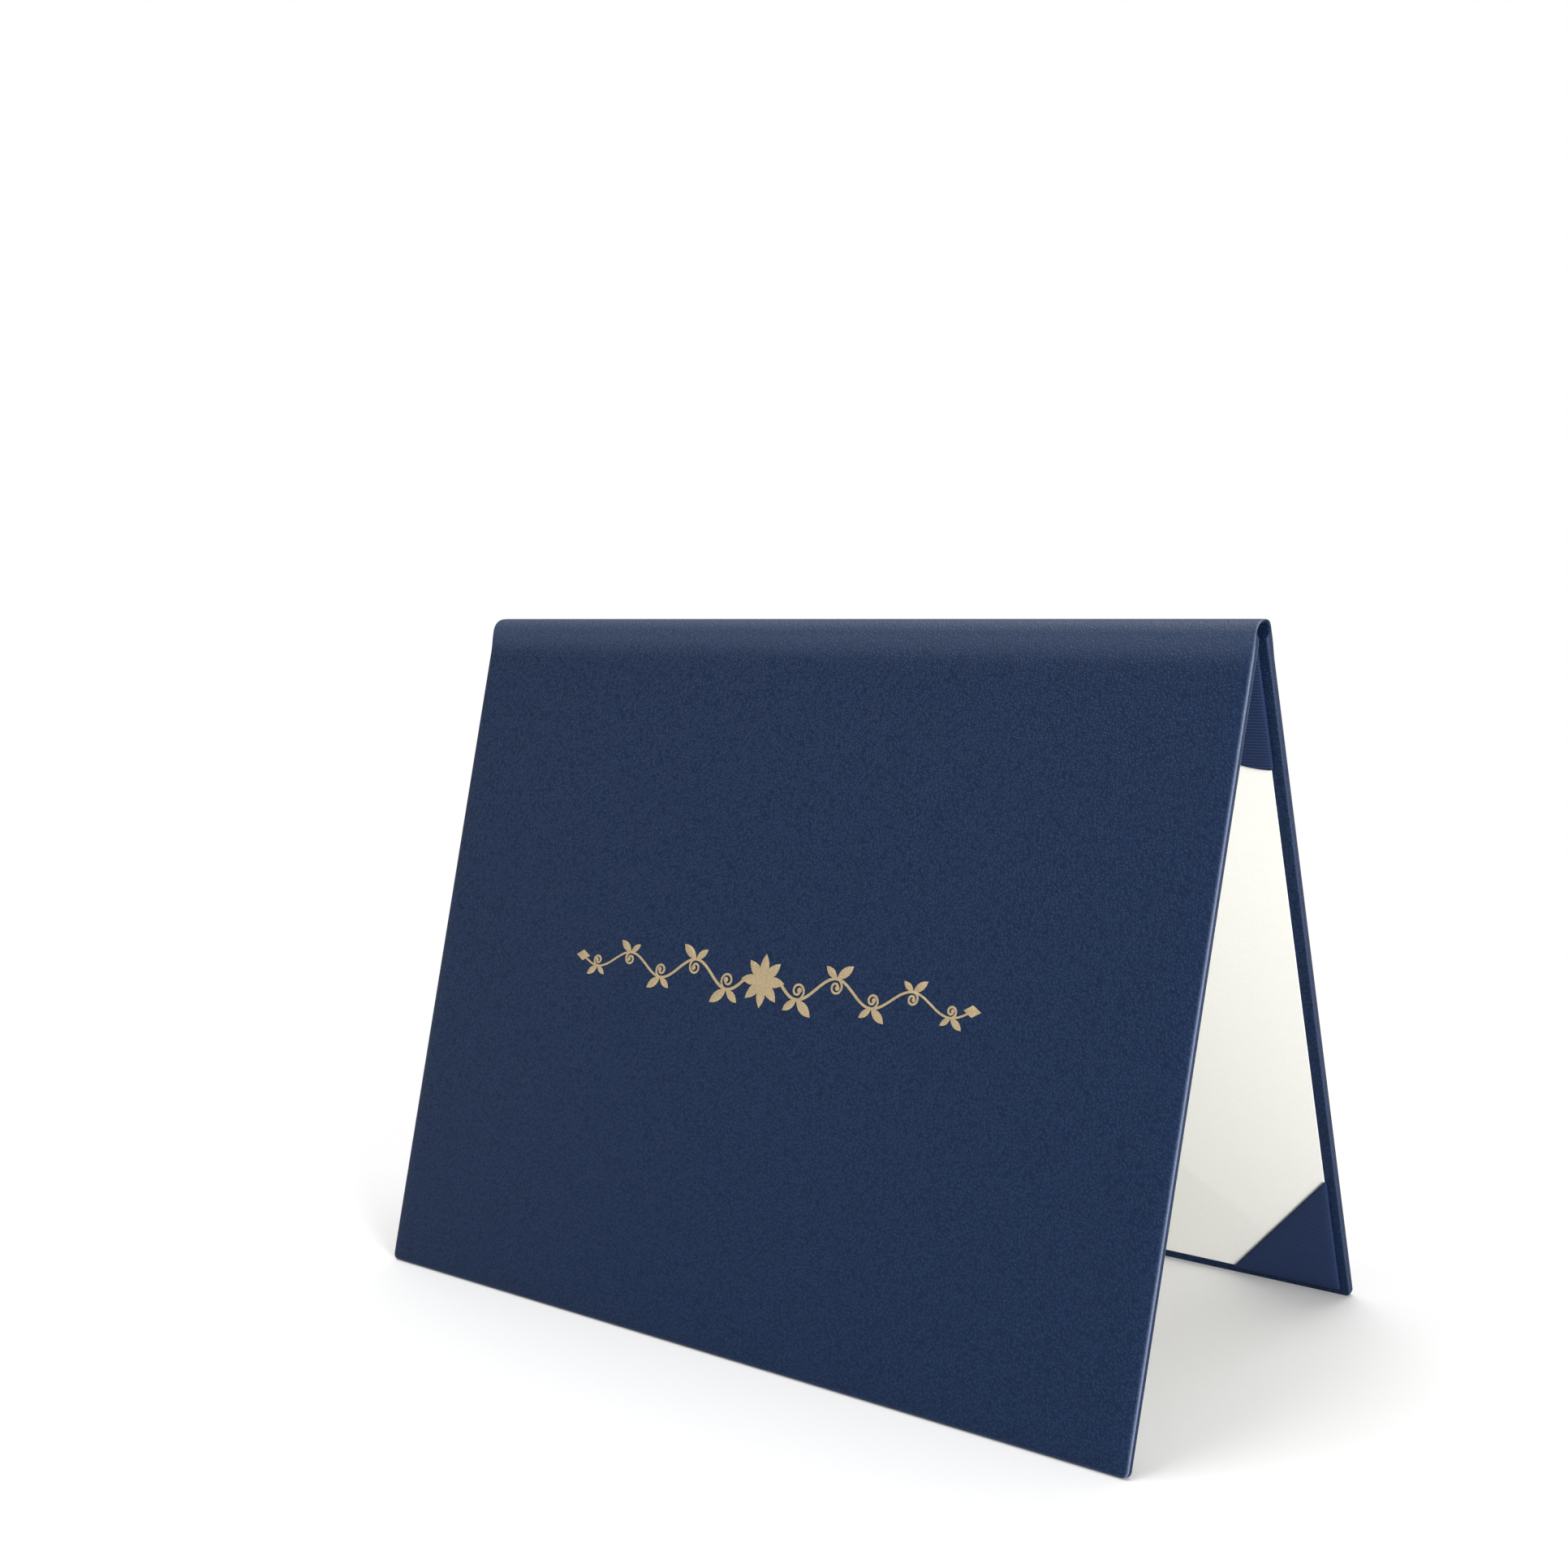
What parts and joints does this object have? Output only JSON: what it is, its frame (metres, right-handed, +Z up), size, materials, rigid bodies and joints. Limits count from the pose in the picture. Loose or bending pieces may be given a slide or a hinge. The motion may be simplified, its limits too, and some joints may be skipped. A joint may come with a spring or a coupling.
{
  "type": "diploma cover",
  "caption": "Padded leatherette diploma cover with two hinged covers, white liners and corner pockets, standing as a tent.",
  "frame": {"origin": "centre of the footprint, on the table that the two foot edges stand on", "axes": "+X along the spine, +Y from the front cover to the rear cover, +Z up"},
  "size_m": [0.292, 0.1502, 0.2194],
  "materials": {
    "leatherette": "satin fine pebble grain",
    "foam": "matte",
    "greyboard": "matte",
    "liner_card": "matte",
    "pocket_cloth": "ribbed weave",
    "gold_foil": "satin foil"
  },
  "bodies": {
    "spine": {"spine_wrap": "leatherette", "spine_hinge_lining": "leatherette"},
    "front_cover": {"front_wrap": "leatherette", "front_pad": "foam", "front_board": "greyboard", "front_hinge_lining": "leatherette", "front_liner": "liner_card", "front_foil_ornament": "gold_foil"},
    "rear_cover": {"rear_wrap": "leatherette", "rear_pad": "foam", "rear_board": "greyboard", "rear_hinge_lining": "leatherette", "rear_liner": "liner_card", "pocket_hinge_left": "pocket_cloth", "pocket_hinge_right": "pocket_cloth", "pocket_foot_left": "pocket_cloth", "pocket_foot_right": "pocket_cloth"}
  },
  "joints": [
    {"name": "front_hinge", "type": "hinge", "parent": "spine", "child": "front_cover", "pos_m": [0, -0.00445, 0.21741], "axis": [-1, 0, 0], "range_deg": [-18.2, 71.8]},
    {"name": "rear_hinge", "type": "hinge", "parent": "spine", "child": "rear_cover", "pos_m": [0, 0.00445, 0.21741], "axis": [1, 0, 0], "range_deg": [-18.2, 71.8]}
  ]
}
